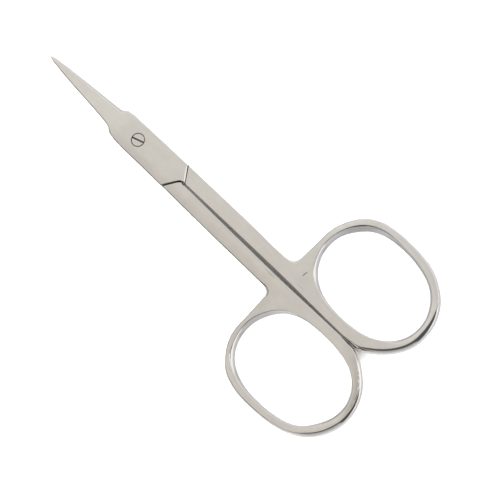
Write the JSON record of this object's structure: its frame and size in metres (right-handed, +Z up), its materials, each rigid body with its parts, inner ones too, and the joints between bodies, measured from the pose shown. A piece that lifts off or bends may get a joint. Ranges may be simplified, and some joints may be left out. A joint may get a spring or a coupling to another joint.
{
  "type": "cuticle scissors",
  "caption": "Small cuticle scissors with slim straight blades, a half-lap joint on a slotted pivot screw, square shanks and oval finger bows, stored closed.",
  "frame": {"origin": "centre of the closed scissors' footprint, on the surface they lie on; the pivot axis is at x = 20.75 mm", "axes": "+X along the length to the blade tips, +Y across to the lower half's bow, +Z up along the pivot axis to the screw's head"},
  "size_m": [0.0907, 0.0428, 0.0034],
  "materials": {
    "ground_steel": "fine satin grind on the flat faces, mirror polish on the rounded walls of the bows",
    "screw_steel": "turned and lightly polished"
  },
  "bodies": {
    "lower": {"lower_half": "ground_steel", "pivot_screw": "screw_steel"},
    "upper": {"upper_half": "ground_steel"}
  },
  "joints": [
    {"name": "pivot", "type": "hinge", "parent": "lower", "child": "upper", "pos_m": [0.02075, 0, 0.0017], "axis": [0, 0, 1], "range_deg": [0, 150]}
  ]
}
